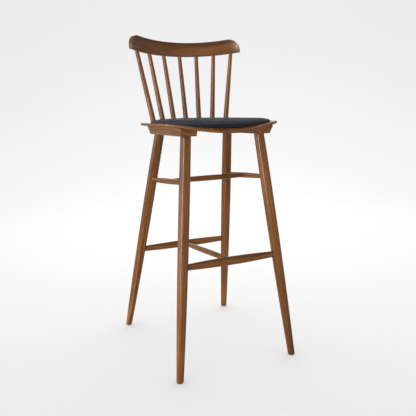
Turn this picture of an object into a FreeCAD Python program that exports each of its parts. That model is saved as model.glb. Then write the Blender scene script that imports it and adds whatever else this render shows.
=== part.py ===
import FreeCAD, Part
import math
import os

from FreeCAD import Vector

# Bar stool with a spindle back, a moulded plywood seat with an upholstered pad, and a footrest.
# Millimetres, +Z up. The front faces -Y, and the stool is mirror-symmetric about X = 0.
# Heights are above the floor. Depths are from the middle of the four leg tops, until the end of the
# script moves the finished pieces so that the middle of the stool's box is over the origin.

# Legs
bearer_bottom = 744.0        # height at which the legs meet the bearers
leg_top_half_depth = 110.6   # from the middle to the front and the rear leg tops
front_leg_top_x = 128.3
rear_leg_top_x = 129.7
front_splay_out = 76.7       # how far the foot stands out from the leg top
front_splay_forward = 85.9
rear_splay_out = 79.8
rear_splay_back = 201.6
leg_foot_radius = 11.3
leg_low_radius = 16.6
leg_mid_radius = 17.4
leg_top_radius = 16.2
leg_low_height = 330.0
leg_mid_height = 545.0
leg_tenon_radius = 11.0

# Glides under the feet
glide_radius = 9.5
glide_height = 3.5
glide_stem_radius = 3.0
glide_stem_length = 14.0
glide_edge = 0.8

# Rungs and stretchers: heights, and the radius at the ends and at the middle of each
footrest_height = 349.0
rear_rung_height = 320.0
side_front_height = 605.0
side_rear_height = 585.0
footrest_radii = (10.0, 13.7)
rear_rung_radii = (10.2, 13.0)
side_radii = (7.3, 9.2)
cross_radii = (6.6, 9.2)
centre_radii = (7.6, 9.8)
rung_past_axis = 4.0         # a rung's end goes this far past the axis of the piece that holds it
rung_straight = 6.0          # plain end that stands out of the socket before the swell starts
glue_gap = 0.1               # radial room for glue in a wooden socket

# Bearers, one under each side of the seat
bearer_inner_x = 102.5
bearer_outer_x = 153.6
bearer_past_leg = 24.5       # from a leg axis to the end of the underside
bearer_flare_out = 9.0       # how far the top stands out past the underside
bearer_flare_front = 11.5
bearer_flare_rear = 4.0
bearer_edge = 1.2

# Seat: moulded plywood, dished across, thinner towards its edge, with a front that rolls down
seat_top = bearer_bottom + 29.2     # height at its middle
seat_thickness = 12.0        # at its middle
leg_tenon_length = seat_top - seat_thickness + 1.8 - bearer_bottom     # it ends just under the seat
seat_dish_radius = 2100.0
seat_under_radius = 1410.0
seat_roll_start = 110.0      # how far in front of the middle the roll starts
seat_roll_radius = 172.0
seat_under_roll_radius = 252.0
seat_front = 183.5
seat_side_x = 207.0
seat_side_y = -5.0
seat_corner_x = seat_side_x - 6.0
seat_corner_front = 109.0
seat_rear_corner_x = seat_side_x - 5.0
seat_rear_corner = 96.0
seat_rear = 207.0
seat_front_round = 26.0
seat_rear_round = 70.0
seat_edge = 2.4

# Pad: board, foam and leather cover
pad_inset_front = 20.0       # from the edge of the seat to the edge of the pad
pad_inset_corner = 18.0
pad_inset_side = 23.0
pad_inset_rear_corner = 29.0
pad_inset_rear = 43.0
pad_front_round = 34.0
pad_rear_round = 66.0
pad_height = 21.0            # above the middle of the seat
pad_crown_radius = 5200.0
pad_roll_start = 55.0
pad_roll_radius = 430.0
pad_edge = 8.0
cover_thickness = 1.2
cover_turn_under = 16.0      # width of the leather turned under the board
board_thickness = 5.0
board_set_in = 4.0           # the foam wraps round the edge of the board by this much

# Spindles, on one arc in the seat and a wider arc in the crest rail
spindle_count = 7
spindle_foot_arc = 256.6
spindle_foot_step = 10.84    # degrees from one spindle to the next
spindle_foot_y = 178.6       # middle spindle, where it leaves the seat
spindle_foot_radius = 9.0
spindle_top_radius = 6.7
spindle_top_step = 12.02     # degrees
spindle_tenon_radius = 4.6
spindle_tenon_length = 24.0

# Crest rail: a bent board, square to the lean of the back
crest_lean = 10.5            # degrees
crest_y = 226.7              # middle of its underside
crest_bottom = seat_top + 238.1
crest_arc = 302.8
crest_thickness = 15.5
crest_half_angle = 42.5
crest_middle_height = 47.6
crest_end_height = 49.6
crest_dip_half_width = 175.0
crest_corner_round = 40.0
crest_hollow = 1.6           # depth of the shallow hollow in the front face
crest_edge = 1.5

# Screws that hold the seat to the bearers
screw_radius = 2.0
screw_head_radius = 4.0
screw_head_height = 2.5
screw_bite = 5.0             # how far a screw goes into the seat
screw_recess = 6.0
screw_spacing = 64.0

# Bolts that hold the pad to the seat, and their tee nuts
bolt_radius = 2.5
bolt_head_radius = 5.0
bolt_head_height = 2.8
bolt_recess = 3.0
bolt_x = 88.0
bolt_y = 78.0
tee_barrel_radius = 3.4
tee_barrel_length = 4.0
tee_flange_radius = 8.0
tee_flange_thickness = 1.2
metal_gap = 0.1              # radial room around a bolt or a screw

UP = Vector(0, 0, 1)
BIG = 1200.0                 # size of the solids that trim a piece


def box(x0, x1, y0, y1, z0, z1):
    return Part.makeBox(x1 - x0, y1 - y0, z1 - z0, Vector(x0, y0, z0))


def bar(radius, start, end):
    """Round bar between two points."""
    return Part.makeCylinder(radius, (end - start).Length, start, end - start)


def line(a, b):
    return Part.LineSegment(a, b).toShape()


def arc(a, b, c):
    return Part.Arc(a, b, c).toShape()


def middle(first, second):
    return (first + second) * 0.5


def mirrored(shape):
    return shape.mirror(Vector(0, 0, 0), Vector(1, 0, 0))


def mirrored_point(point):
    return Vector(-point.x, point.y, point.z)


def turned(profile_edges, start, direction):
    """Turn a profile that is drawn beside the Z axis, and stand it at start."""
    shell = Part.Shell(Part.Wire(profile_edges).revolve(Vector(0, 0, 0), UP, 360).Faces)
    solid = Part.makeSolid(shell)
    if solid.Volume < 0:
        solid.reverse()
    solid.Placement = FreeCAD.Placement(start, FreeCAD.Rotation(UP, direction))
    return solid


def half_space(point, normal):
    """A block that fills the side of a plane that its normal points to."""
    block = box(-BIG, BIG, -BIG, BIG, 0, BIG)
    block.Placement = FreeCAD.Placement(point, FreeCAD.Rotation(UP, normal))
    return block


# ---- where the legs and rungs run ----

def leg_axis(top_x, top_y, out, along):
    """Foot and top of a leg's axis, on the right-hand side."""
    return Vector(top_x + out, top_y + along, 0), Vector(top_x, top_y, bearer_bottom)


def on_axis(axis, height):
    foot, top = axis
    return foot + (top - foot) * (height / bearer_bottom)


front_axis = leg_axis(front_leg_top_x, -leg_top_half_depth, front_splay_out, -front_splay_forward)
rear_axis = leg_axis(rear_leg_top_x, leg_top_half_depth, rear_splay_out, rear_splay_back)
footrest_right = on_axis(front_axis, footrest_height)
rear_rung_right = on_axis(rear_axis, rear_rung_height)
side_front = on_axis(front_axis, side_front_height)
side_rear = on_axis(rear_axis, side_rear_height)
side_middle = middle(side_front, side_rear)
footrest_middle = Vector(0, footrest_right.y, footrest_height)
rear_rung_middle = Vector(0, rear_rung_right.y, rear_rung_height)


# ---- legs, glides and rungs ----

def rung(first, second, radii):
    """A rung with plain round ends and an even swell, and the tools that bore its two sockets."""
    end_radius, middle_radius = radii
    direction = (second - first).normalize()
    start = first - direction * rung_past_axis
    end = second + direction * rung_past_axis
    length = (end - start).Length
    plain = leg_mid_radius + rung_past_axis + rung_straight
    near = Vector(end_radius, 0, plain)
    far = Vector(end_radius, 0, length - plain)
    near_end = Vector(end_radius, 0, 0)
    far_end = Vector(end_radius, 0, length)
    profile = [
        line(Vector(0, 0, 0), near_end),
        line(near_end, near),
        arc(near, Vector(middle_radius, 0, length / 2), far),
        line(far, far_end),
        line(far_end, Vector(0, 0, length)),
    ]
    bore = end_radius + glue_gap
    sockets = [bar(bore, start, start + direction * plain), bar(bore, end - direction * plain, end)]
    return turned(profile, start, direction), sockets


def leg(axis, sockets):
    """A turned leg, cut level at its glide and at the bearer, with a round tenon on top."""
    foot, top = axis
    direction = (top - foot).normalize()
    slant = (top - foot).Length / bearer_bottom
    spare = 20.0
    stations = [
        Vector(leg_foot_radius, 0, 0),
        Vector(leg_low_radius, 0, leg_low_height * slant),
        Vector(leg_mid_radius, 0, leg_mid_height * slant),
        Vector(leg_top_radius, 0, bearer_bottom * slant),
    ]
    curve = Part.BSplineCurve()
    curve.interpolate(stations)
    lowest = stations[0] - UP * spare
    highest = stations[-1] + UP * spare
    profile = [
        line(Vector(0, 0, lowest.z), lowest),
        line(lowest, stations[0]),
        curve.toShape(),
        line(stations[-1], highest),
        line(highest, Vector(0, 0, highest.z)),
    ]
    body = turned(profile, foot, direction)
    body = body.cut(half_space(Vector(0, 0, glide_height), -UP))
    body = body.cut(half_space(Vector(0, 0, bearer_bottom), UP))
    body = body.fuse(bar(leg_tenon_radius, top - direction * spare, top + direction * leg_tenon_length))
    body = body.removeSplitter()
    base = on_axis(axis, glide_height)
    body = body.cut(bar(glide_stem_radius, base, base + UP * glide_stem_length))
    for socket in sockets:
        body = body.cut(socket)
    return body


def leg_mortise(axis):
    foot, top = axis
    direction = (top - foot).normalize()
    return bar(leg_tenon_radius + glue_gap, top - direction * leg_tenon_length, top + direction * leg_tenon_length)


def glide(axis):
    """A round plastic glide with a stem pressed into the foot."""
    centre = on_axis(axis, glide_height)
    disc = bar(glide_radius, Vector(centre.x, centre.y, 0), centre)
    rims = [edge for edge in disc.Edges if edge.BoundBox.ZMax < glide_edge]
    disc = disc.makeFillet(glide_edge, rims)
    return disc.fuse(bar(glide_stem_radius, centre, centre + UP * glide_stem_length)).removeSplitter()


# ---- seat and pad surfaces ----

def above(height, across_radius, roll_start, roll_radius):
    """Everything above a surface that is curved across, and rolls down towards the front.

    across_radius is positive for a dished surface and negative for a crowned one.
    """
    half = BIG / 4
    depth = 100.0
    rise = half * half / (2 * across_radius)
    left = Vector(-half, -roll_start, height + rise)
    right = Vector(half, -roll_start, height + rise)
    left_top = Vector(-half, -roll_start, height + depth)
    right_top = Vector(half, -roll_start, height + depth)
    across = arc(left, Vector(0, -roll_start, height), right)
    section = Part.Face(Part.Wire([across, line(right, right_top), line(right_top, left_top), line(left_top, left)]))
    flat_run = section.extrude(Vector(0, half + roll_start, 0))
    roll = section.revolve(Vector(0, -roll_start, height - roll_radius), Vector(1, 0, 0), 40.0)
    return flat_run.fuse(roll).removeSplitter()


def above_seat(offset=0.0):
    return above(seat_top + offset, seat_dish_radius, seat_roll_start, seat_roll_radius + offset)


def above_seat_underside():
    return above(seat_top - seat_thickness, seat_under_radius, seat_roll_start, seat_under_roll_radius)


def above_pad(shrink=0.0):
    return above(seat_top + pad_height - shrink, -pad_crown_radius, pad_roll_start, pad_roll_radius - shrink)


def plan_block(front, corner_x, corner_front, side_x, rear_corner_x, rear_corner, rear, front_round, rear_round):
    """An upright block whose plan is four arcs with rounded corners."""
    front_right = Vector(corner_x, -corner_front, 0)
    rear_right = Vector(rear_corner_x, rear_corner, 0)
    front_left = mirrored_point(front_right)
    rear_left = mirrored_point(rear_right)
    outline = Part.Wire([
        arc(front_left, Vector(0, -front, 0), front_right),
        arc(front_right, Vector(side_x, seat_side_y, 0), rear_right),
        arc(rear_right, Vector(0, rear, 0), rear_left),
        arc(rear_left, Vector(-side_x, seat_side_y, 0), front_left),
    ])
    outline.translate(UP * (seat_top - BIG / 8))
    block = Part.Face(outline).extrude(UP * (BIG / 4))
    uprights = [edge for edge in block.Edges if edge.BoundBox.ZLength > BIG / 8]
    block = block.makeFillet(front_round, [edge for edge in uprights if edge.CenterOfMass.y < 0])
    uprights = [edge for edge in block.Edges if edge.BoundBox.ZLength > BIG / 8 and is_corner(edge, rear_right)]
    return block.makeFillet(rear_round, uprights)


def is_corner(edge, corner):
    point = edge.CenterOfMass
    return abs(abs(point.x) - corner.x) < 0.01 and abs(point.y - corner.y) < 0.01


def seat_block():
    return plan_block(
        seat_front, seat_corner_x, seat_corner_front, seat_side_x, seat_rear_corner_x, seat_rear_corner,
        seat_rear, seat_front_round, seat_rear_round)


def pad_block(shrink):
    return plan_block(
        seat_front - pad_inset_front - shrink,
        seat_corner_x - pad_inset_corner - shrink,
        seat_corner_front - pad_inset_corner / 2 - shrink / 2,
        seat_side_x - pad_inset_side - shrink,
        seat_rear_corner_x - pad_inset_rear_corner - shrink,
        seat_rear_corner - pad_inset_rear_corner / 2 - shrink / 2,
        seat_rear - pad_inset_rear - shrink,
        pad_front_round - shrink,
        pad_rear_round - shrink)


def rim_edges(solid, face_test):
    """Edges between a face that passes the test and one that does not."""
    chosen = []
    for edge in solid.Edges:
        faces = solid.ancestorsOfType(edge, Part.Face)
        passed = [face_test(face) for face in faces]
        if len(faces) == 2 and passed[0] != passed[1]:
            chosen.append(edge)
    return chosen


def faces_up(face):
    return surface_normal(face).z > 0.7


def faces_up_or_down(face):
    return abs(surface_normal(face).z) > 0.7


def surface_normal(face):
    u0, u1, v0, v1 = face.ParameterRange
    return face.normalAt((u0 + u1) / 2, (v0 + v1) / 2)


# ---- seat, bearers and pad ----

def plain_seat():
    seat = seat_block().common(above_seat_underside()).cut(above_seat()).Solids[0]
    return seat.makeFillet(seat_edge, rim_edges(seat, faces_up_or_down))


def plain_bearer():
    """The right-hand bearer: a block whose sides and ends flare towards the top."""
    front = -leg_top_half_depth - bearer_past_leg
    rear = leg_top_half_depth + bearer_past_leg
    height = seat_top - bearer_bottom
    low = Part.makePolygon([
        Vector(bearer_inner_x, front, bearer_bottom),
        Vector(bearer_outer_x, front, bearer_bottom),
        Vector(bearer_outer_x, rear, bearer_bottom),
        Vector(bearer_inner_x, rear, bearer_bottom),
        Vector(bearer_inner_x, front, bearer_bottom),
    ])
    high = Part.makePolygon([
        Vector(bearer_inner_x, front - bearer_flare_front, bearer_bottom + height),
        Vector(bearer_outer_x + bearer_flare_out, front - bearer_flare_front, bearer_bottom + height),
        Vector(bearer_outer_x + bearer_flare_out, rear + bearer_flare_rear, bearer_bottom + height),
        Vector(bearer_inner_x, rear + bearer_flare_rear, bearer_bottom + height),
        Vector(bearer_inner_x, front - bearer_flare_front, bearer_bottom + height),
    ])
    block = Part.makeLoft([low, high], True, True)
    lower_edges = [edge for edge in block.Edges if edge.CenterOfMass.z < bearer_bottom + height - 0.01]
    return block.makeFillet(bearer_edge, lower_edges).cut(above_seat_underside())


def pad_form(shrink):
    """Outer form of the pad, or the same form made smaller all round."""
    form = pad_block(shrink).common(above_seat(shrink)).cut(above_pad(shrink)).Solids[0]
    return form.makeFillet(pad_edge - shrink, rim_edges(form, faces_up))


def plain_board():
    """The board under the foam, on the leather that is turned under."""
    lowest = above_seat(cover_thickness)
    highest = above_seat(cover_thickness + board_thickness)
    return pad_block(cover_thickness + board_set_in).common(lowest).cut(highest).Solids[0]


def pad_cover(inside):
    """Leather over the top and sides, turned under the board."""
    opening = pad_block(cover_turn_under).cut(above_seat(cover_thickness))
    return pad_form(0.0).cut(inside).cut(opening)


# ---- spindles and crest rail ----

crest_up = Vector(0, math.sin(math.radians(crest_lean)), math.cos(math.radians(crest_lean)))
crest_forward = Vector(0, -math.cos(math.radians(crest_lean)), math.sin(math.radians(crest_lean)))
crest_centre = Vector(0, crest_y, crest_bottom)
crest_arc_centre = crest_centre + crest_forward * crest_arc


def crest_point(radius, angle, height):
    """A point on the crest rail, at an angle from its middle and a height above its underside."""
    a = math.radians(angle)
    outward = Vector(math.sin(a), 0, 0) - crest_forward * math.cos(a)
    return crest_arc_centre + outward * radius + crest_up * height


def spindle_numbers():
    reach = (spindle_count - 1) // 2
    return range(-reach, spindle_count - reach)


def spindle_axis(number):
    """Where a spindle leaves the seat, and where it enters the crest rail."""
    a = math.radians(spindle_foot_step * number)
    x = spindle_foot_arc * math.sin(a)
    y = spindle_foot_y - spindle_foot_arc * (1 - math.cos(a))
    foot = Vector(x, y, seat_top + x * x / (2 * seat_dish_radius))
    return foot, crest_point(crest_arc, spindle_top_step * number, 0)


def spindle(number):
    """A tapered spindle, flush with the underside of the seat, with a tenon in the crest rail."""
    foot, top = spindle_axis(number)
    direction = (top - foot).normalize()
    length = (top - foot).Length
    past_top = 4.0
    plain_foot = seat_thickness * 2
    narrowing = (spindle_foot_radius - spindle_top_radius) / length
    end_radius = spindle_top_radius - narrowing * past_top
    plain = bar(spindle_foot_radius, foot - direction * plain_foot, foot).common(above_seat_underside())
    shaft = Part.makeCone(spindle_foot_radius, end_radius, length + past_top, foot, direction)
    shaft = shaft.cut(half_space(crest_centre, crest_up))
    tenon = bar(spindle_tenon_radius, top - direction * past_top, top + direction * spindle_tenon_length)
    return plain.fuse(shaft).fuse(tenon).removeSplitter()


def spindle_mortises(number):
    foot, top = spindle_axis(number)
    direction = (top - foot).normalize()
    seat_bore = bar(spindle_foot_radius + glue_gap, foot - direction * seat_thickness * 3, foot)
    seat_bore = seat_bore.fuse(bar(spindle_foot_radius + glue_gap, foot, foot + direction * seat_thickness))
    crest_bore = bar(spindle_tenon_radius + glue_gap, top - direction * 2, top + direction * spindle_tenon_length)
    return seat_bore, crest_bore


def plain_crest():
    """The bent board: one section turned about the arc's centre, with rounded ends and a dip along the top."""
    rear = crest_point(crest_arc + crest_thickness / 2, 0, 0)
    front = crest_point(crest_arc - crest_thickness / 2, 0, 0)
    tall = crest_up * crest_end_height
    hollow_point = middle(front, front + tall) - crest_forward * crest_hollow
    section = Part.Face(Part.Wire([
        line(rear, front),
        arc(front, hollow_point, front + tall),
        line(front + tall, rear + tall),
        line(rear + tall, rear),
    ]))
    section.rotate(crest_arc_centre, crest_up, -crest_half_angle)
    rail = section.revolve(crest_arc_centre, crest_up, 2 * crest_half_angle)
    corner_height = crest_end_height - 0.01
    corners = [edge for edge in rail.Edges if edge.Length < crest_thickness * 1.1
               and (edge.CenterOfMass - crest_centre).dot(crest_up) > corner_height]
    rail = rail.makeFillet(crest_corner_round, corners)
    dip = crest_end_height - crest_middle_height
    dip_radius = crest_dip_half_width ** 2 / (2 * dip)
    dip_centre = crest_centre + crest_up * (crest_middle_height + dip_radius)
    reach = crest_forward * (BIG / 4)
    rail = rail.cut(bar(dip_radius, dip_centre - reach, dip_centre + reach)).Solids[0]
    return rail.makeFillet(crest_edge, rail.Edges)


# ---- screws, bolts and tee nuts ----

def screw_places():
    x = (bearer_inner_x + bearer_outer_x) / 2
    return [Vector(x, y, bearer_bottom) for y in (-screw_spacing, 0.0, screw_spacing)]


def underside_height(x):
    return seat_top - seat_thickness + x * x / (2 * seat_under_radius)


def seat_screw(place):
    """A wood screw that comes up through the bearer into the seat."""
    head_top = place + UP * (screw_recess + screw_head_height)
    tip = Vector(place.x, place.y, underside_height(place.x) + screw_bite)
    head = bar(screw_head_radius, place + UP * screw_recess, head_top)
    return head.fuse(bar(screw_radius, head_top, tip)).removeSplitter()


def seat_screw_hole(place):
    head_top = place + UP * (screw_recess + screw_head_height)
    tip = Vector(place.x, place.y, underside_height(place.x) + screw_bite)
    recess = bar(screw_head_radius + metal_gap, place - UP, head_top)
    return recess, bar(screw_radius, head_top - UP, tip)


def bolt_places():
    return [Vector(x, y, 0) for x in (-bolt_x, bolt_x) for y in (-bolt_y, bolt_y)]


def board_top_height(x):
    return seat_top + cover_thickness + board_thickness + x * x / (2 * seat_dish_radius)


def pad_bolt(place):
    """A bolt whose head sits in the underside of the seat, and whose end is in a tee nut."""
    under = underside_height(place.x) + bolt_recess
    head = bar(bolt_head_radius, Vector(place.x, place.y, under - bolt_head_height), Vector(place.x, place.y, under))
    end = Vector(place.x, place.y, board_top_height(place.x) - 0.5)
    return head.fuse(bar(bolt_radius, Vector(place.x, place.y, under), end)).removeSplitter()


def pad_bolt_hole(place):
    under = underside_height(place.x) + bolt_recess
    low = Vector(place.x, place.y, under - 2 * bolt_recess)
    high = Vector(place.x, place.y, under)
    recess = bar(bolt_head_radius + metal_gap, low, high)
    return recess.fuse(bar(bolt_radius + metal_gap, low, high + UP * 2 * seat_thickness))


def tee_nut_outline(place, gap):
    """Barrel in the board and flange on top of it."""
    top = Vector(place.x, place.y, board_top_height(place.x))
    barrel = bar(tee_barrel_radius + gap, top - UP * tee_barrel_length, top)
    return barrel.fuse(bar(tee_flange_radius + gap, top, top + UP * tee_flange_thickness)).removeSplitter()


def tee_nut(place):
    end = Vector(place.x, place.y, board_top_height(place.x) + tee_flange_thickness)
    start = end - UP * 2 * tee_barrel_length
    return tee_nut_outline(place, 0.0).cut(bar(bolt_radius, start, end))


# ---- the whole stool ----

def build_frame():
    """Legs, glides, rungs and stretchers."""
    footrest, footrest_sockets = rung(mirrored_point(footrest_right), footrest_right, footrest_radii)
    rear_rung, rear_sockets = rung(mirrored_point(rear_rung_right), rear_rung_right, rear_rung_radii)
    side_right, side_sockets = rung(side_front, side_rear, side_radii)
    cross, cross_sockets = rung(mirrored_point(side_middle), side_middle, cross_radii)
    centre, centre_sockets = rung(footrest_middle, rear_rung_middle, centre_radii)
    side_right = side_right.cut(cross_sockets[1])
    front_leg = leg(front_axis, [footrest_sockets[1], side_sockets[0]])
    rear_leg = leg(rear_axis, [rear_sockets[1], side_sockets[1]])
    return {
        "leg_front_right": front_leg,
        "leg_front_left": mirrored(front_leg),
        "leg_rear_right": rear_leg,
        "leg_rear_left": mirrored(rear_leg),
        "glide_front_right": glide(front_axis),
        "glide_front_left": mirrored(glide(front_axis)),
        "glide_rear_right": glide(rear_axis),
        "glide_rear_left": mirrored(glide(rear_axis)),
        "footrest_rung": footrest.cut(centre_sockets[0]),
        "rear_rung": rear_rung.cut(centre_sockets[1]),
        "centre_stretcher": centre,
        "side_stretcher_right": side_right,
        "side_stretcher_left": mirrored(side_right),
        "cross_stretcher": cross,
    }


def build_seat():
    """Bearers, seat, pad and what fastens them."""
    bearer = plain_bearer().cut(leg_mortise(front_axis)).cut(leg_mortise(rear_axis))
    seat = plain_seat()
    screws = []
    for place in screw_places():
        recess, shank = seat_screw_hole(place)
        bearer = bearer.cut(recess).cut(shank)
        seat = seat.cut(shank).cut(mirrored(shank))
        screws += [seat_screw(place), mirrored(seat_screw(place))]
    board = plain_board()
    foam = pad_form(cover_thickness).cut(board)
    cover = pad_cover(pad_form(cover_thickness))
    for place in bolt_places():
        seat = seat.cut(pad_bolt_hole(place))
        board = board.cut(pad_bolt_hole(place)).cut(tee_nut_outline(place, metal_gap))
        foam = foam.cut(tee_nut_outline(place, metal_gap))
    for number in spindle_numbers():
        seat = seat.cut(spindle_mortises(number)[0])
    return {
        "bearer_right": bearer,
        "bearer_left": mirrored(bearer),
        "seat": seat,
        "pad_board": board,
        "pad_foam": foam,
        "pad_cover": cover,
        "seat_screws": Part.makeCompound(screws),
        "pad_bolts": Part.makeCompound([pad_bolt(place) for place in bolt_places()]),
        "pad_tee_nuts": Part.makeCompound([tee_nut(place) for place in bolt_places()]),
    }


def build_back():
    """Spindles and crest rail."""
    pieces = {}
    crest = plain_crest()
    for index, number in enumerate(spindle_numbers()):
        pieces["spindle_%d" % (index + 1)] = spindle(number)
        crest = crest.cut(spindle_mortises(number)[1])
    pieces["crest_rail"] = crest
    return pieces


def main():
    os.makedirs("parts", exist_ok=True)
    pieces = {}
    pieces.update(build_frame())
    pieces.update(build_seat())
    pieces.update(build_back())
    boxes = [shape.optimalBoundingBox() for shape in pieces.values()]
    middle_x = (min(b.XMin for b in boxes) + max(b.XMax for b in boxes)) / 2
    middle_y = (min(b.YMin for b in boxes) + max(b.YMax for b in boxes)) / 2
    to_origin = Vector(-middle_x, -middle_y, 0)
    for name, shape in pieces.items():
        shape.translate(to_origin)
        shape.exportStep("parts/%s.step" % name)
        print(name, "solids", len(shape.Solids), "valid", shape.isValid(), "cm3", round(shape.Volume / 1000, 2))
    print("moved by", to_origin, "top", max(b.ZMax for b in boxes))


main()
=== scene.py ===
import math
import random

import bmesh
import bpy
from mathutils import Matrix, Vector
from mathutils.bvhtree import BVHTree


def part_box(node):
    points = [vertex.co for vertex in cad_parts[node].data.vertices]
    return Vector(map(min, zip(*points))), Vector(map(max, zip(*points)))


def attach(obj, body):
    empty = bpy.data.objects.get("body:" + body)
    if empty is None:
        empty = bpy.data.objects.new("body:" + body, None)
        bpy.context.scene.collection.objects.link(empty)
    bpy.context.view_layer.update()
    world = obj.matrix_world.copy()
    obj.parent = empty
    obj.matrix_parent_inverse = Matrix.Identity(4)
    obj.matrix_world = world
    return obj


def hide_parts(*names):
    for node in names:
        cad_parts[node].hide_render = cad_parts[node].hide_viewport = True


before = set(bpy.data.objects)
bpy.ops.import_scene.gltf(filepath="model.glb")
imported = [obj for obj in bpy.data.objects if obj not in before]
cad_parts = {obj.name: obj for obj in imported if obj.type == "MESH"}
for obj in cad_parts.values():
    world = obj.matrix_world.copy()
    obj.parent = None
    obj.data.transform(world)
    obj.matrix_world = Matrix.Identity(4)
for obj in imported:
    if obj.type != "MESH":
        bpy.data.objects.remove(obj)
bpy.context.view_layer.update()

# Bar stool with a spindle back: the CAD frame with wood, metal and plastic finishes,
# and a leather pad in place of the plain CAD pad. Metres, +Z up, front towards -Y.

WOODEN = ["leg_front_left", "leg_front_right", "leg_rear_left", "leg_rear_right",
          "footrest_rung", "rear_rung", "centre_stretcher", "cross_stretcher",
          "side_stretcher_left", "side_stretcher_right", "bearer_left", "bearer_right",
          *("spindle_%d" % n for n in range(1, 8))]

# Stain, as linear colours from the darkest grain to the palest
STAIN = [(0.10, (0.062, 0.022, 0.005)), (0.38, (0.128, 0.046, 0.010)),
         (0.62, (0.212, 0.078, 0.017)), (0.92, (0.350, 0.142, 0.036))]

X_AXIS, Y_AXIS, Z_AXIS = Vector((1.0, 0.0, 0.0)), Vector((0.0, 1.0, 0.0)), Vector((0.0, 0.0, 1.0))


class Graph:
    """A material with one Principled shader, and short names for the nodes in front of it."""

    def __init__(self, name):
        self.material = bpy.data.materials.new(name)
        self.material.use_nodes = True
        tree = self.material.node_tree
        self.nodes, self.links = tree.nodes, tree.links
        self.nodes.clear()
        self.shader = self.nodes.new("ShaderNodeBsdfPrincipled")
        self.output = self.nodes.new("ShaderNodeOutputMaterial")
        self.links.new(self.shader.outputs[0], self.output.inputs["Surface"])
        self.place = self.nodes.new("ShaderNodeTexCoord").outputs["Object"]

    def put(self, socket, value):
        if isinstance(value, bpy.types.NodeSocket):
            self.links.new(value, socket)
        else:
            socket.default_value = value

    def set(self, **values):
        for name, value in values.items():
            self.put(self.shader.inputs[name.replace("_", " ")], value)

    def math(self, operation, *values):
        node = self.nodes.new("ShaderNodeMath")
        node.operation = operation
        for socket, value in zip(node.inputs, values):
            self.put(socket, value)
        return node.outputs[0]

    def dot(self, vector, direction):
        node = self.nodes.new("ShaderNodeVectorMath")
        node.operation = "DOT_PRODUCT"
        self.put(node.inputs[0], vector)
        self.put(node.inputs[1], direction)
        return node.outputs["Value"]

    def vector(self, x, y, z):
        node = self.nodes.new("ShaderNodeCombineXYZ")
        for socket, value in zip(node.inputs, (x, y, z)):
            self.put(socket, value)
        return node.outputs[0]

    def noise(self, vector, scale=1.0, detail=2.0, roughness=0.5, distortion=0.0):
        node = self.nodes.new("ShaderNodeTexNoise")
        for name, value in (("Vector", vector), ("Scale", scale), ("Detail", detail),
                            ("Roughness", roughness), ("Distortion", distortion)):
            self.put(node.inputs[name], value)
        return node.outputs["Fac"]

    def cells(self, vector, scale):
        node = self.nodes.new("ShaderNodeTexVoronoi")
        node.feature = "DISTANCE_TO_EDGE"
        self.put(node.inputs["Vector"], vector)
        self.put(node.inputs["Scale"], scale)
        self.put(node.inputs["Randomness"], 1.0)
        return node.outputs["Distance"]

    def span(self, value, low, high, to_low=0.0, to_high=1.0):
        node = self.nodes.new("ShaderNodeMapRange")
        node.clamp = True
        for socket, number in zip(node.inputs, (value, low, high, to_low, to_high)):
            self.put(socket, number)
        return node.outputs[0]

    def ramp(self, value, stops):
        node = self.nodes.new("ShaderNodeValToRGB")
        points = node.color_ramp.elements
        while len(points) < len(stops):
            points.new(0.5)
        for point, (position, colour) in zip(points, stops):
            point.position, point.color = position, (*colour, 1.0)
        self.put(node.inputs[0], value)
        return node.outputs[0]

    def multiply(self, share, first, second):
        """The first colour multiplied by the second, as far as the share says."""
        node = self.nodes.new("ShaderNodeMix")
        node.data_type, node.blend_type = "RGBA", "MULTIPLY"
        self.put(node.inputs["Factor"], share)
        self.put(node.inputs[6], first)
        self.put(node.inputs[7], second)
        return node.outputs[2]

    def bump(self, height, depth, strength):
        node = self.nodes.new("ShaderNodeBump")
        self.put(node.inputs["Strength"], strength)
        self.put(node.inputs["Distance"], depth)
        self.put(node.inputs["Height"], height)
        self.links.new(node.outputs[0], self.shader.inputs["Normal"])


AXIS_STEPS = 40


def main_axis(mesh):
    """The middle of a mesh and the direction in which it is longest."""
    points = [v.co for v in mesh.vertices]
    middle = sum(points, Vector()) / len(points)
    axis = Vector((0.3, 0.5, 0.8))
    for _ in range(AXIS_STEPS):
        axis = sum(((p - middle) * (p - middle).dot(axis) for p in points), Vector()).normalized()
    return middle, axis


# Each layer of the grain: how fine it is across and along the grain, per metre
SWAY_ACROSS, SWAY_ALONG, SWAY_REACH = 9.0, 2.2, 0.030
RING_ACROSS, RING_ALONG = 220.0, 1.5
FIBRE_ACROSS, FIBRE_ALONG = 900.0, 22.0
CLOUD_ACROSS, CLOUD_ALONG = 20.0, 5.0
PORE_ACROSS, PORE_ALONG = 2300.0, 120.0
RING_SHARE, FIBRE_SHARE, CLOUD_SHARE = 0.60, 0.22, 0.18


def stretched(graph, across, beside, along, cross_scale, along_scale, shift=0.0):
    """The place in the wood, scaled one way across the grain and another way along it.
    The shift moves it along the grain, so that no two pieces are alike."""
    return graph.vector(graph.math("MULTIPLY", across, cross_scale),
                        graph.math("MULTIPLY", beside, cross_scale),
                        graph.math("MULTIPLY_ADD", along, along_scale, shift))


def distance(graph, first, second):
    """Distance from the origin of a point with these two coordinates."""
    return graph.math("SQRT", graph.math("ADD", graph.math("POWER", first, 2.0),
                                         graph.math("POWER", second, 2.0)))


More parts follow.
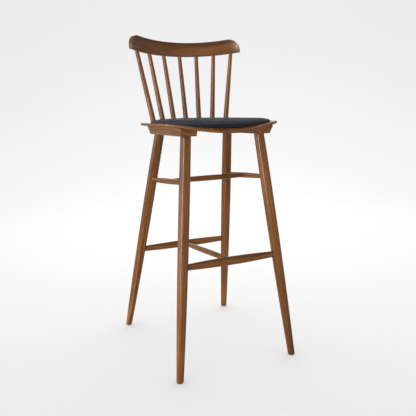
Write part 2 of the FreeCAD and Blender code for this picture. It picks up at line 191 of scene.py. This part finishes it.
def grain(graph, across, beside, along, seed, pith=(0.05, 0.03)):
    """Tone, pores and fibres of a piece of wood. The three places are in metres, and along
    follows the grain. The pith is how far the middle of the rings lies from the piece."""
    luck = random.Random(seed)
    place = (across, beside, along)
    drift = stretched(graph, *place, SWAY_ACROSS, SWAY_ALONG, luck.uniform(0, 50))
    sway = graph.math("MULTIPLY", graph.math("SUBTRACT", graph.noise(drift, detail=3.0), 0.5), SWAY_REACH)
    from_pith_x = graph.math("ADD", across, pith[0] * luck.uniform(0.8, 1.3))
    from_pith_y = graph.math("ADD", beside, pith[1] * luck.uniform(-1.2, 1.2))
    ring = graph.math("ADD", distance(graph, from_pith_x, from_pith_y), sway)
    rings = graph.noise(graph.vector(graph.math("MULTIPLY", ring, RING_ACROSS), luck.uniform(0, 90),
                                     graph.math("MULTIPLY", along, RING_ALONG)),
                        detail=4.0, roughness=0.62)
    fibre = graph.noise(stretched(graph, *place, FIBRE_ACROSS, FIBRE_ALONG), detail=3.0, roughness=0.6)
    cloud = graph.noise(stretched(graph, *place, CLOUD_ACROSS, CLOUD_ALONG, luck.uniform(0, 70)), detail=2.0)
    pores = graph.noise(stretched(graph, *place, PORE_ACROSS, PORE_ALONG), detail=1.0)
    pore = graph.span(pores, 0.60, 0.70)
    tone = graph.math("ADD", graph.math("MULTIPLY", graph.span(rings, 0.32, 0.68), RING_SHARE),
                      graph.math("ADD", graph.math("MULTIPLY", graph.span(fibre, 0.3, 0.7), FIBRE_SHARE),
                                 graph.math("MULTIPLY", graph.span(cloud, 0.3, 0.7), CLOUD_SHARE)))
    return tone, pore, fibre


# Finish: colour and share of the dark in the pores, satin of the lacquer, and its relief
PORE_COLOUR = (0.38, 0.30, 0.27, 1.0)
PORE_DARK = 0.55
PORE_ROUGH = 0.10
LACQUER_ROUGH = (0.17, 0.24)
LACQUER_SHINE = 0.46
WOOD_RELIEF = 0.00006
# The crest's colour is scaled darker than the legs'. This is partly a darker stain and partly painted shade,
# for the dark across the middle of its front.
CREST_STAIN_AND_SHADE = 0.52
SEAT_DEPTH = 0.85


def lacquer(graph, tone, pore, fibre, depth=1.0):
    """Stain over the grain, with a satin clear finish. A lower depth is a darker colour: a darker stain, and
    on the crest it is partly painted shade.
    """
    stops = [(place, tuple(part * depth for part in shade)) for place, shade in STAIN]
    colour = graph.multiply(graph.math("MULTIPLY", pore, PORE_DARK), graph.ramp(tone, stops), PORE_COLOUR)
    rough = graph.math("ADD", graph.span(fibre, 0.2, 0.8, *LACQUER_ROUGH),
                       graph.math("MULTIPLY", pore, PORE_ROUGH))
    height = graph.math("SUBTRACT", graph.math("MULTIPLY", fibre, 0.35), pore)
    graph.set(Base_Color=colour, Roughness=rough, IOR=1.5, Specular_IOR_Level=LACQUER_SHINE)
    graph.bump(height, WOOD_RELIEF, 0.4)


def straight_wood(node, seed):
    """Wood for a piece whose grain runs along its longest direction."""
    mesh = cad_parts[node].data
    middle, axis = main_axis(mesh)
    side = axis.cross(Vector((0.2, 0.9, 0.1)) if abs(axis.y) < 0.7 else X_AXIS).normalized()
    up = axis.cross(side)
    graph = Graph("wood_" + node)
    places = []
    for direction in (side, up, axis):
        places.append(graph.math("SUBTRACT", graph.dot(graph.place, direction), middle.dot(direction)))
    lacquer(graph, *grain(graph, *places, seed))
    return graph.material


def dress(node, material):
    """Gives every slot of a CAD node the same material."""
    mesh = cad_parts[node].data
    if len(mesh.materials) == 0:
        mesh.materials.append(material)
    for slot in range(len(mesh.materials)):
        mesh.materials[slot] = material


# Crest rail: the grain follows the bend
CREST_ARC = 0.3028
CREST_LEAN = math.radians(10.5)


def crest_wood():
    low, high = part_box("crest_rail")
    graph = Graph("wood_crest_rail")
    back = Vector((0.0, math.cos(CREST_LEAN), -math.sin(CREST_LEAN)))
    up = Vector((0.0, math.sin(CREST_LEAN), math.cos(CREST_LEAN)))
    rear_most = max(v.co.dot(back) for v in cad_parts["crest_rail"].data.vertices)
    centre = rear_most - CREST_ARC
    out = graph.math("SUBTRACT", graph.dot(graph.place, back), centre)
    across = graph.dot(graph.place, X_AXIS)
    radius = distance(graph, out, across)
    along = graph.math("MULTIPLY", graph.math("ARCTAN2", across, out), CREST_ARC)
    rise = graph.math("SUBTRACT", graph.dot(graph.place, up), (low.z + high.z) / 2)
    inward = graph.math("SUBTRACT", radius, CREST_ARC)
    # The crest is darkened, partly as a darker stain and partly as painted shade.
    lacquer(graph, *grain(graph, rise, inward, along, 71, pith=(0.02, 0.09)), depth=CREST_STAIN_AND_SHADE)
    return graph.material


# Seat: veneered plywood, with its plies showing in the edge, which is painted paler partly as a painted
# highlight for light catching it. The curves are the CAD seat's
SEAT_TOP = 0.7732
SEAT_DISH = 2.1
SEAT_ROLL_START = -0.1677
SEAT_ROLL = 0.172
PLY = 0.0013
EDGE_STARTS, EDGE_ENDS = 0.50, 0.42     # how level a face is where the plies begin to show


def seat_wood():
    graph = Graph("veneer_seat")
    x, y, z = (graph.dot(graph.place, axis) for axis in (X_AXIS, Y_AXIS, Z_AXIS))
    dish = graph.math("DIVIDE", graph.math("POWER", x, 2.0), 2 * SEAT_DISH)
    past = graph.math("MAXIMUM", graph.math("SUBTRACT", SEAT_ROLL_START, y), 0.0)
    roll = graph.math("SUBTRACT", SEAT_ROLL,
                      graph.math("SQRT", graph.math("SUBTRACT", SEAT_ROLL ** 2,
                                                    graph.math("POWER", past, 2.0))))
    depth = graph.math("SUBTRACT", graph.math("SUBTRACT", graph.math("ADD", dish, SEAT_TOP), roll), z)
    tone, pore, fibre = grain(graph, x, graph.math("MULTIPLY", depth, 0.2), y, 93, pith=(0.4, 0.01))
    facing = graph.nodes.new("ShaderNodeNewGeometry").outputs["Normal"]
    level = graph.math("ABSOLUTE", graph.dot(facing, Z_AXIS))
    edge = graph.span(level, EDGE_STARTS, EDGE_ENDS)
    layers = graph.math("FRACT", graph.math("DIVIDE", depth, 2 * PLY))
    pale = graph.span(graph.math("ABSOLUTE", graph.math("SUBTRACT", layers, 0.5)), 0.20, 0.30)
    # The edge shows the paler plies, lifted further as a painted highlight for light catching the edge
    plies_and_painted_light = graph.math("ADD", graph.math("MULTIPLY", pale, 0.60), graph.math("MULTIPLY", tone, 0.50))
    mixed = graph.math("ADD", graph.math("MULTIPLY", tone, graph.math("SUBTRACT", 1.0, edge)),
                       graph.math("MULTIPLY", plies_and_painted_light, edge))
    lacquer(graph, mixed, pore, fibre, depth=SEAT_DEPTH)
    return graph.material


def plain_plywood():
    graph = Graph("plywood_board")
    spot = graph.noise(graph.place, scale=60.0, detail=4.0)
    across = graph.math("MULTIPLY", graph.dot(graph.place, X_AXIS), 500.0)
    along = graph.math("MULTIPLY", graph.dot(graph.place, Y_AXIS), 20.0)
    streak = graph.noise(graph.vector(across, 0.0, along), detail=3.0)
    graph.set(Base_Color=graph.ramp(streak, [(0.3, (0.42, 0.29, 0.17)), (0.7, (0.62, 0.46, 0.29))]),
              Roughness=graph.span(spot, 0.3, 0.7, 0.6, 0.8))
    graph.bump(streak, 0.0001, 0.4)
    return graph.material


def zinc():
    graph = Graph("zinc_steel")
    spangle = graph.noise(graph.place, scale=900.0, detail=3.0)
    graph.set(Base_Color=graph.ramp(spangle, [(0.3, (0.42, 0.43, 0.45)), (0.7, (0.62, 0.62, 0.60))]),
              Metallic=1.0, Roughness=graph.span(spangle, 0.3, 0.7, 0.28, 0.46))
    graph.bump(spangle, 0.00003, 0.4)
    return graph.material


def glide_plastic():
    graph = Graph("glide_plastic")
    moulded = graph.noise(graph.place, scale=1400.0, detail=2.0)
    scuffs = graph.noise(graph.place, scale=220.0, detail=5.0, roughness=0.7)
    graph.set(Base_Color=graph.ramp(scuffs, [(0.35, (0.016, 0.015, 0.014)), (0.75, (0.060, 0.056, 0.050))]),
              Roughness=graph.span(scuffs, 0.3, 0.7, 0.45, 0.7))
    graph.bump(moulded, 0.00004, 0.5)
    return graph.material


LEATHER = [(0.3, (0.0062, 0.0080, 0.0140)), (0.7, (0.0125, 0.0160, 0.0270))]
CREASE_COLOUR = (0.55, 0.55, 0.58, 1.0)


def leather():
    graph = Graph("leather")
    warp = graph.noise(graph.place, scale=55.0, detail=2.0)
    large = graph.cells(graph.place, 620.0)
    small = graph.cells(graph.place, 1350.0)
    creases = graph.noise(graph.place, scale=130.0, detail=5.0, roughness=0.65, distortion=1.2)
    pebble = graph.math("ADD", graph.span(large, 0.0, 0.16),
                        graph.math("MULTIPLY", graph.span(small, 0.0, 0.2), 0.4))
    handled = graph.noise(graph.place, scale=9.0, detail=3.0)
    shade = graph.math("ADD", graph.math("MULTIPLY", handled, 0.6), graph.math("MULTIPLY", creases, 0.4))
    colour = graph.multiply(graph.span(pebble, 0.55, 0.0), graph.ramp(shade, LEATHER), CREASE_COLOUR)
    graph.set(Base_Color=colour, IOR=1.5, Specular_IOR_Level=0.36,
              Roughness=graph.span(handled, 0.3, 0.7, 0.36, 0.46))
    height = graph.math("ADD", pebble, graph.math("ADD", graph.math("MULTIPLY", creases, 0.5),
                                                  graph.math("MULTIPLY", warp, 1.0)))
    graph.bump(height, 0.00018, 0.40)
    return graph.material


# Leather pad. The insets are the distances from its edge to each ring of its top
PAD_SPOKES = 180
PAD_REACH = (0.05, 0.40)
PAD_HALVINGS = 22
PAD_INSETS = (0.0003, 0.0010, 0.0022, 0.0038, 0.0058, 0.0085, 0.013, 0.020,
              0.030, 0.043, 0.058, 0.075, 0.093, 0.111, 0.128)
PAD_SIDE_ROWS = 4
PAD_SLACK = 0.0006
PAD_HELD = 0.001            # leather this close to the seat stays where it is
PAD_SWELL = 0.0016
PAD_SINK = 0.0005
PAD_CREEP = 0.0010
PAD_PRESSURE = 4.0
PAD_FRAMES = 20
SEAT_CLEARANCE = 0.0003


ABOVE_THE_STOOL = 2.0


def tree_of(node):
    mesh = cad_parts[node].data
    return BVHTree.FromPolygons([v.co for v in mesh.vertices], [p.vertices for p in mesh.polygons])


def drop(tree, x, y):
    """Height at which a line going straight down meets the tree's mesh, or None."""
    hit = tree.ray_cast(Vector((x, y, ABOVE_THE_STOOL)), -Z_AXIS)[0]
    return None if hit is None else hit.z


def seat_height(x, y):
    """Height of the seat's upper face."""
    past = max(SEAT_ROLL_START - y, 0.0)
    return SEAT_TOP + x * x / (2 * SEAT_DISH) - (SEAT_ROLL - math.sqrt(SEAT_ROLL ** 2 - past ** 2))


def pad_blank():
    """A closed form a little smaller than the CAD pad, for the leather to swell from."""
    cover = tree_of("pad_cover")
    low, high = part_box("pad_cover")
    cx, cy = (low.x + high.x) / 2, (low.y + high.y) / 2
    edge = []
    for n in range(PAD_SPOKES):
        angle = 2 * math.pi * n / PAD_SPOKES
        near, far = PAD_REACH
        for _ in range(PAD_HALVINGS):
            reach = (near + far) / 2
            if drop(cover, cx + reach * math.cos(angle), cy + reach * math.sin(angle)) is None:
                far = reach
            else:
                near = reach
        edge.append((math.cos(angle), math.sin(angle), near))
    form = bmesh.new()
    rings = []
    for row in range(PAD_SIDE_ROWS + 1):
        ring = []
        for c, s, reach in edge:
            x, y = cx + reach * c, cy + reach * s
            under = seat_height(x, y) + SEAT_CLEARANCE
            inside = reach - PAD_INSETS[0]
            brow = drop(cover, cx + inside * c, cy + inside * s) - PAD_SLACK
            ring.append(form.verts.new((x, y, under + (brow - under) * row / (PAD_SIDE_ROWS + 1))))
        rings.append(ring)
    for inset in PAD_INSETS:
        ring = []
        for c, s, reach in edge:
            x, y = cx + (reach - inset) * c, cy + (reach - inset) * s
            ring.append(form.verts.new((x, y, drop(cover, x, y) - PAD_SLACK)))
        rings.append(ring)
    crown = form.verts.new((cx, cy, drop(cover, cx, cy) - PAD_SLACK))
    foot = form.verts.new((cx, cy, seat_height(cx, cy) + SEAT_CLEARANCE))
    for n in range(PAD_SPOKES):
        m = (n + 1) % PAD_SPOKES
        form.faces.new((crown, rings[-1][n], rings[-1][m]))
        form.faces.new((foot, rings[0][m], rings[0][n]))
        for outer, inner in zip(rings, rings[1:]):
            form.faces.new((inner[n], outer[n], outer[m], inner[m]))
    mesh = bpy.data.meshes.new("leather_pad")
    form.to_mesh(mesh)
    form.free()
    pad = bpy.data.objects.new("leather_pad", mesh)
    bpy.context.scene.collection.objects.link(pad)
    return pad


def apply_modifiers(piece):
    bpy.context.view_layer.update()
    graph = bpy.context.evaluated_depsgraph_get()
    shaped = bpy.data.meshes.new_from_object(piece.evaluated_get(graph))
    piece.modifiers.clear()
    piece.data = shaped


def swell(pad):
    """Lets the leather swell round its filling, held still where it rests on the seat."""
    start = [v.co.copy() for v in pad.data.vertices]
    normals = [v.normal.copy() for v in pad.data.vertices]
    held = pad.vertex_groups.new(name="held")
    held.add([n for n, p in enumerate(start) if p.z < seat_height(p.x, p.y) + PAD_HELD], 1.0, "REPLACE")
    cloth = pad.modifiers.new("swell", "CLOTH")
    settings = cloth.settings
    settings.quality = 5
    settings.mass = 0.35
    settings.tension_stiffness = settings.compression_stiffness = 22.0
    settings.shear_stiffness = 10.0
    settings.bending_stiffness = 1.5
    settings.use_pressure = True
    settings.uniform_pressure_force = PAD_PRESSURE
    settings.vertex_group_mass = "held"
    settings.effector_weights.gravity = 0.0
    cloth.collision_settings.use_collision = False
    cloth.point_cache.frame_start, cloth.point_cache.frame_end = 1, PAD_FRAMES
    for step in range(1, PAD_FRAMES + 1):
        bpy.context.scene.frame_set(step)
    apply_modifiers(pad)
    bpy.context.scene.frame_set(1)
    for vertex, was, outward in zip(pad.data.vertices, start, normals):
        moved = vertex.co - was
        rise = moved.dot(outward)
        creep = moved - outward * rise
        if creep.length > PAD_CREEP:
            creep *= PAD_CREEP / creep.length
        vertex.co = was + creep + outward * min(max(rise, -PAD_SINK), PAD_SWELL)


def leather_pad():
    pad = pad_blank()
    swell(pad)
    rounder = pad.modifiers.new("rounder", "SUBSURF")
    rounder.levels = rounder.render_levels = 1
    apply_modifiers(pad)
    for vertex in pad.data.vertices:
        p = vertex.co
        p.z = max(p.z, seat_height(p.x, p.y) + SEAT_CLEARANCE)
    for face in pad.data.polygons:
        face.use_smooth = True
    pad.data.materials.clear()
    pad.data.materials.append(leather())
    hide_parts("pad_cover", "pad_foam")
    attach(pad, "root")


# Floor and backdrop: a wide round sweep with painted light. It glows a little like a lamp, and its colour
# and glow are painted brightest behind the stool as a painted pool of light
STAGE_RADIUS = 4.6
STAGE_HEIGHT = 5.5
STAGE_BEND = 1.8
STAGE_SPOKES = 96
STAGE_ROWS = 12


def stage_profile():
    """Distance from the middle and height of each ring of the sweep."""
    rings = [(r, 0.0) for r in (0.4, 0.9, 1.5, 2.2, STAGE_RADIUS - STAGE_BEND)]
    for n in range(1, STAGE_ROWS + 1):
        turn = math.pi / 2 * n / STAGE_ROWS
        rings.append((STAGE_RADIUS - STAGE_BEND + STAGE_BEND * math.sin(turn),
                      STAGE_BEND - STAGE_BEND * math.cos(turn)))
    rings.append((STAGE_RADIUS, STAGE_HEIGHT))
    return rings


def stage():
    form = bmesh.new()
    middle = form.verts.new((0.0, 0.0, 0.0))
    rings = []
    for radius, height in stage_profile():
        rings.append([form.verts.new((radius * math.cos(2 * math.pi * n / STAGE_SPOKES),
                                      radius * math.sin(2 * math.pi * n / STAGE_SPOKES), height))
                      for n in range(STAGE_SPOKES)])
    for n in range(STAGE_SPOKES):
        m = (n + 1) % STAGE_SPOKES
        form.faces.new((middle, rings[0][n], rings[0][m]))
        for inner, outer in zip(rings, rings[1:]):
            form.faces.new((inner[n], outer[n], outer[m], inner[m]))
    for face in form.faces:
        face.smooth = True
    mesh = bpy.data.meshes.new("floor")
    form.to_mesh(mesh)
    form.free()
    floor = bpy.data.objects.new("floor", mesh)
    bpy.context.scene.collection.objects.link(floor)
    mesh.materials.append(paper())
    floor.visible_glossy = False
    return floor


PAPER_GLOW = 0.31
PAPER_COLOUR = (0.75, 0.75, 0.75, 1.0)
# GLOW_PLACE is the middle of the painted pool of light. The paper's colour and glow fall off from it, down
# to GLOW_LEAST at GLOW_FAR
GLOW_PLACE = Vector((0.9, 1.7, 0.0))
GLOW_NEAR, GLOW_FAR, GLOW_LEAST = 0.2, 3.9, 0.80


def paper():
    graph = Graph("paper")
    gap = graph.nodes.new("ShaderNodeVectorMath")
    gap.operation = "DISTANCE"
    graph.put(gap.inputs[0], graph.place)
    gap.inputs[1].default_value = GLOW_PLACE
    # Painted pool of light: the paper's colour and glow are brightest near GLOW_PLACE, behind the stool
    fall = graph.span(gap.outputs["Value"], GLOW_NEAR, GLOW_FAR, 1.0, GLOW_LEAST)
    fibres = graph.noise(graph.place, scale=140.0, detail=3.0)
    painted_light_and_fibres = graph.math("MULTIPLY", fall, graph.span(fibres, 0.3, 0.7, 0.998, 1.0))
    painted_light_grey = graph.vector(painted_light_and_fibres, painted_light_and_fibres, painted_light_and_fibres)
    graph.set(Base_Color=graph.multiply(1.0, painted_light_grey, PAPER_COLOUR),
              Roughness=0.9, Specular_IOR_Level=0.0, Emission_Color=painted_light_grey, Emission_Strength=PAPER_GLOW)
    return graph.material


SKY = 0.34


def group(name, pieces):
    """A collection for light linking. It isn't part of the scene's own tree."""
    members = bpy.data.collections.new(name)
    for piece in pieces:
        members.objects.link(piece)
    return members


def softbox(name, place, target, width, height, power, lit, colour=(1.0, 1.0, 1.0)):
    """An area light that lights only the objects in one collection."""
    data = bpy.data.lights.new(name, "AREA")
    data.shape, data.size, data.size_y = "RECTANGLE", width, height
    data.energy, data.color = power, colour
    lamp = bpy.data.objects.new(name, data)
    lamp.location = place
    lamp.rotation_mode = "QUATERNION"
    lamp.rotation_quaternion = (Vector(target) - Vector(place)).to_track_quat("-Z", "Y")
    bpy.context.scene.collection.objects.link(lamp)
    lamp.visible_camera = False
    lamp.light_linking.receiver_collection = lit
    return lamp


def studio(floor):
    world = bpy.data.worlds.new("studio")
    world.use_nodes = True
    background = world.node_tree.nodes["Background"]
    background.inputs["Color"].default_value = (1.0, 1.0, 1.0, 1.0)
    background.inputs["Strength"].default_value = SKY
    bpy.context.scene.world = world
    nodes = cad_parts
    pieces = [o for o in bpy.context.scene.objects if o.type == "MESH" and o != floor]
    stool = group("lit_stool", pieces)
    backdrop = group("lit_backdrop", [floor])
    crest = group("lit_crest", [nodes["crest_rail"]])
    standing = group("standing", [nodes[name] for name in nodes if name.startswith(("leg_", "glide_"))])
    softbox("key", (-2.15, -1.35, 1.25), (0.0, 0.0, 0.75), 0.14, 2.4, 46.0, stool, (1.0, 0.97, 0.94))
    softbox("side", (-2.5, 0.45, 1.2), (0.0, 0.0, 0.75), 2.4, 2.6, 38.0, stool, (1.0, 0.93, 0.84))
    softbox("top", (0.0, -0.1, 2.7), (0.0, 0.0, 0.85), 1.0, 1.0, 8.0, stool)
    softbox("crest_top", (0.1, -0.5, 2.4), (0.0, 0.1, 1.05), 1.0, 0.3, 7.0, crest)
    softbox("behind", (1.3, 2.5, 1.0), (0.0, 0.0, 0.80), 2.2, 0.9, 5.0, stool, (0.80, 0.88, 1.0))
    overhead = softbox("overhead", (0.7, 1.3, 4.6), (0.7, 1.3, 0.0), 5.0, 5.0, 122.0, backdrop)
    overhead.light_linking.blocker_collection = standing     # only the legs shade the floor
    bpy.context.scene.view_settings.view_transform = "Standard"


# Camera
CAMERA_PLACE = Vector((-0.75238, -1.62109, 0.820))
CAMERA_TURN = math.radians(-25.54)
CAMERA_DOWN = math.radians(10.65)
CAMERA_ROLL = math.radians(-1.06)
CAMERA_LENS = 45.0
CAMERA_SENSOR = 36.0


def camera():
    forward = Vector((-math.sin(CAMERA_TURN) * math.cos(CAMERA_DOWN),
                      math.cos(CAMERA_TURN) * math.cos(CAMERA_DOWN), -math.sin(CAMERA_DOWN)))
    level = Vector((math.cos(CAMERA_TURN), math.sin(CAMERA_TURN), 0.0))
    upright = level.cross(forward)
    right = level * math.cos(CAMERA_ROLL) + upright * math.sin(CAMERA_ROLL)
    up = upright * math.cos(CAMERA_ROLL) - level * math.sin(CAMERA_ROLL)
    data = bpy.data.cameras.new("camera")
    data.lens, data.sensor_width = CAMERA_LENS, CAMERA_SENSOR
    eye = bpy.data.objects.new("camera", data)
    eye.matrix_world = Matrix.Translation(CAMERA_PLACE) @ Matrix((right, up, -forward)).transposed().to_4x4()
    bpy.context.scene.collection.objects.link(eye)
    bpy.context.scene.camera = eye


for number, name in enumerate(WOODEN):
    dress(name, straight_wood(name, 11 + 7 * number))
dress("crest_rail", crest_wood())
dress("seat", seat_wood())
dress("pad_board", plain_plywood())
steel = zinc()
for name in ("seat_screws", "pad_bolts", "pad_tee_nuts"):
    dress(name, steel)
plastic = glide_plastic()
for name in ("glide_front_left", "glide_front_right", "glide_rear_left", "glide_rear_right"):
    dress(name, plastic)
leather_pad()
studio(stage())
camera()
